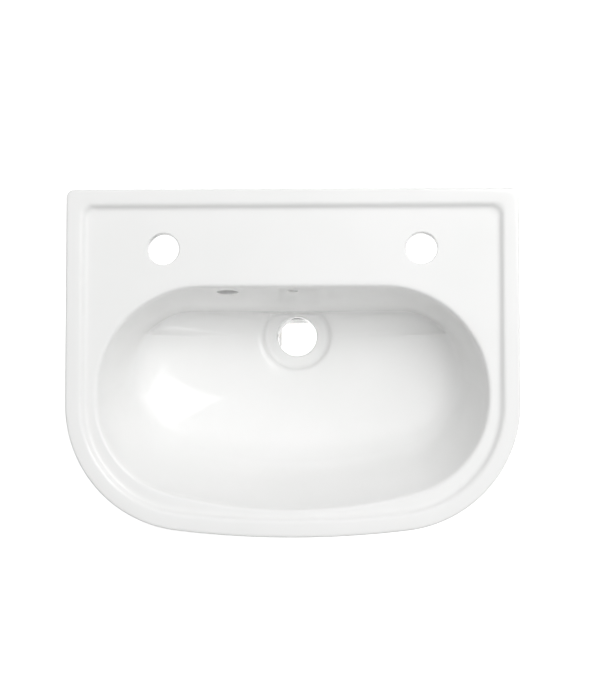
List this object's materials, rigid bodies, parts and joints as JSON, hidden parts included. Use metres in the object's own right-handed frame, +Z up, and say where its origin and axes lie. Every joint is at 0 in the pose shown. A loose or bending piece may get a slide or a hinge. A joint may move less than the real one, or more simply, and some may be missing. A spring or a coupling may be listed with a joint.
{
  "type": "pedestal sink",
  "caption": "Small glazed ceramic wash basin with a D-shaped bowl and stepped rim on a hollow, open-backed pedestal.",
  "frame": {"origin": "on the floor, under the middle of the overall bounding box", "axes": "+Z up, -Y towards the user at the front, +Y towards the wall, +X to the user's right"},
  "size_m": [0.505, 0.388, 0.85],
  "materials": {
    "glazed_ceramic": "clear gloss glaze over white vitreous china",
    "bedding_rubber": "matt black",
    "white_nylon": "satin moulded",
    "pin_steel": "drawn wire"
  },
  "bodies": {
    "sink": {"basin": "glazed_ceramic", "pedestal": "glazed_ceramic", "pad_front_left": "bedding_rubber", "pad_front_right": "bedding_rubber", "pad_back_left": "bedding_rubber", "pad_back_right": "bedding_rubber", "wall_sleeve_left": "white_nylon", "wall_sleeve_right": "white_nylon", "floor_cup_left": "white_nylon", "floor_cup_right": "white_nylon", "lid_pin_left": "pin_steel", "lid_pin_right": "pin_steel"},
    "lid_left": {"floor_lid_left": "white_nylon"},
    "lid_right": {"floor_lid_right": "white_nylon"}
  },
  "joints": [
    {"name": "lid_left", "type": "hinge", "parent": "sink", "child": "lid_left", "pos_m": [-0.0525, 0.097, 0.0209], "axis": [0, 1, 0], "range_deg": [0, 150]},
    {"name": "lid_right", "type": "hinge", "parent": "sink", "child": "lid_right", "pos_m": [0.0525, 0.097, 0.0209], "axis": [0, -1, 0], "range_deg": [0, 150]}
  ]
}
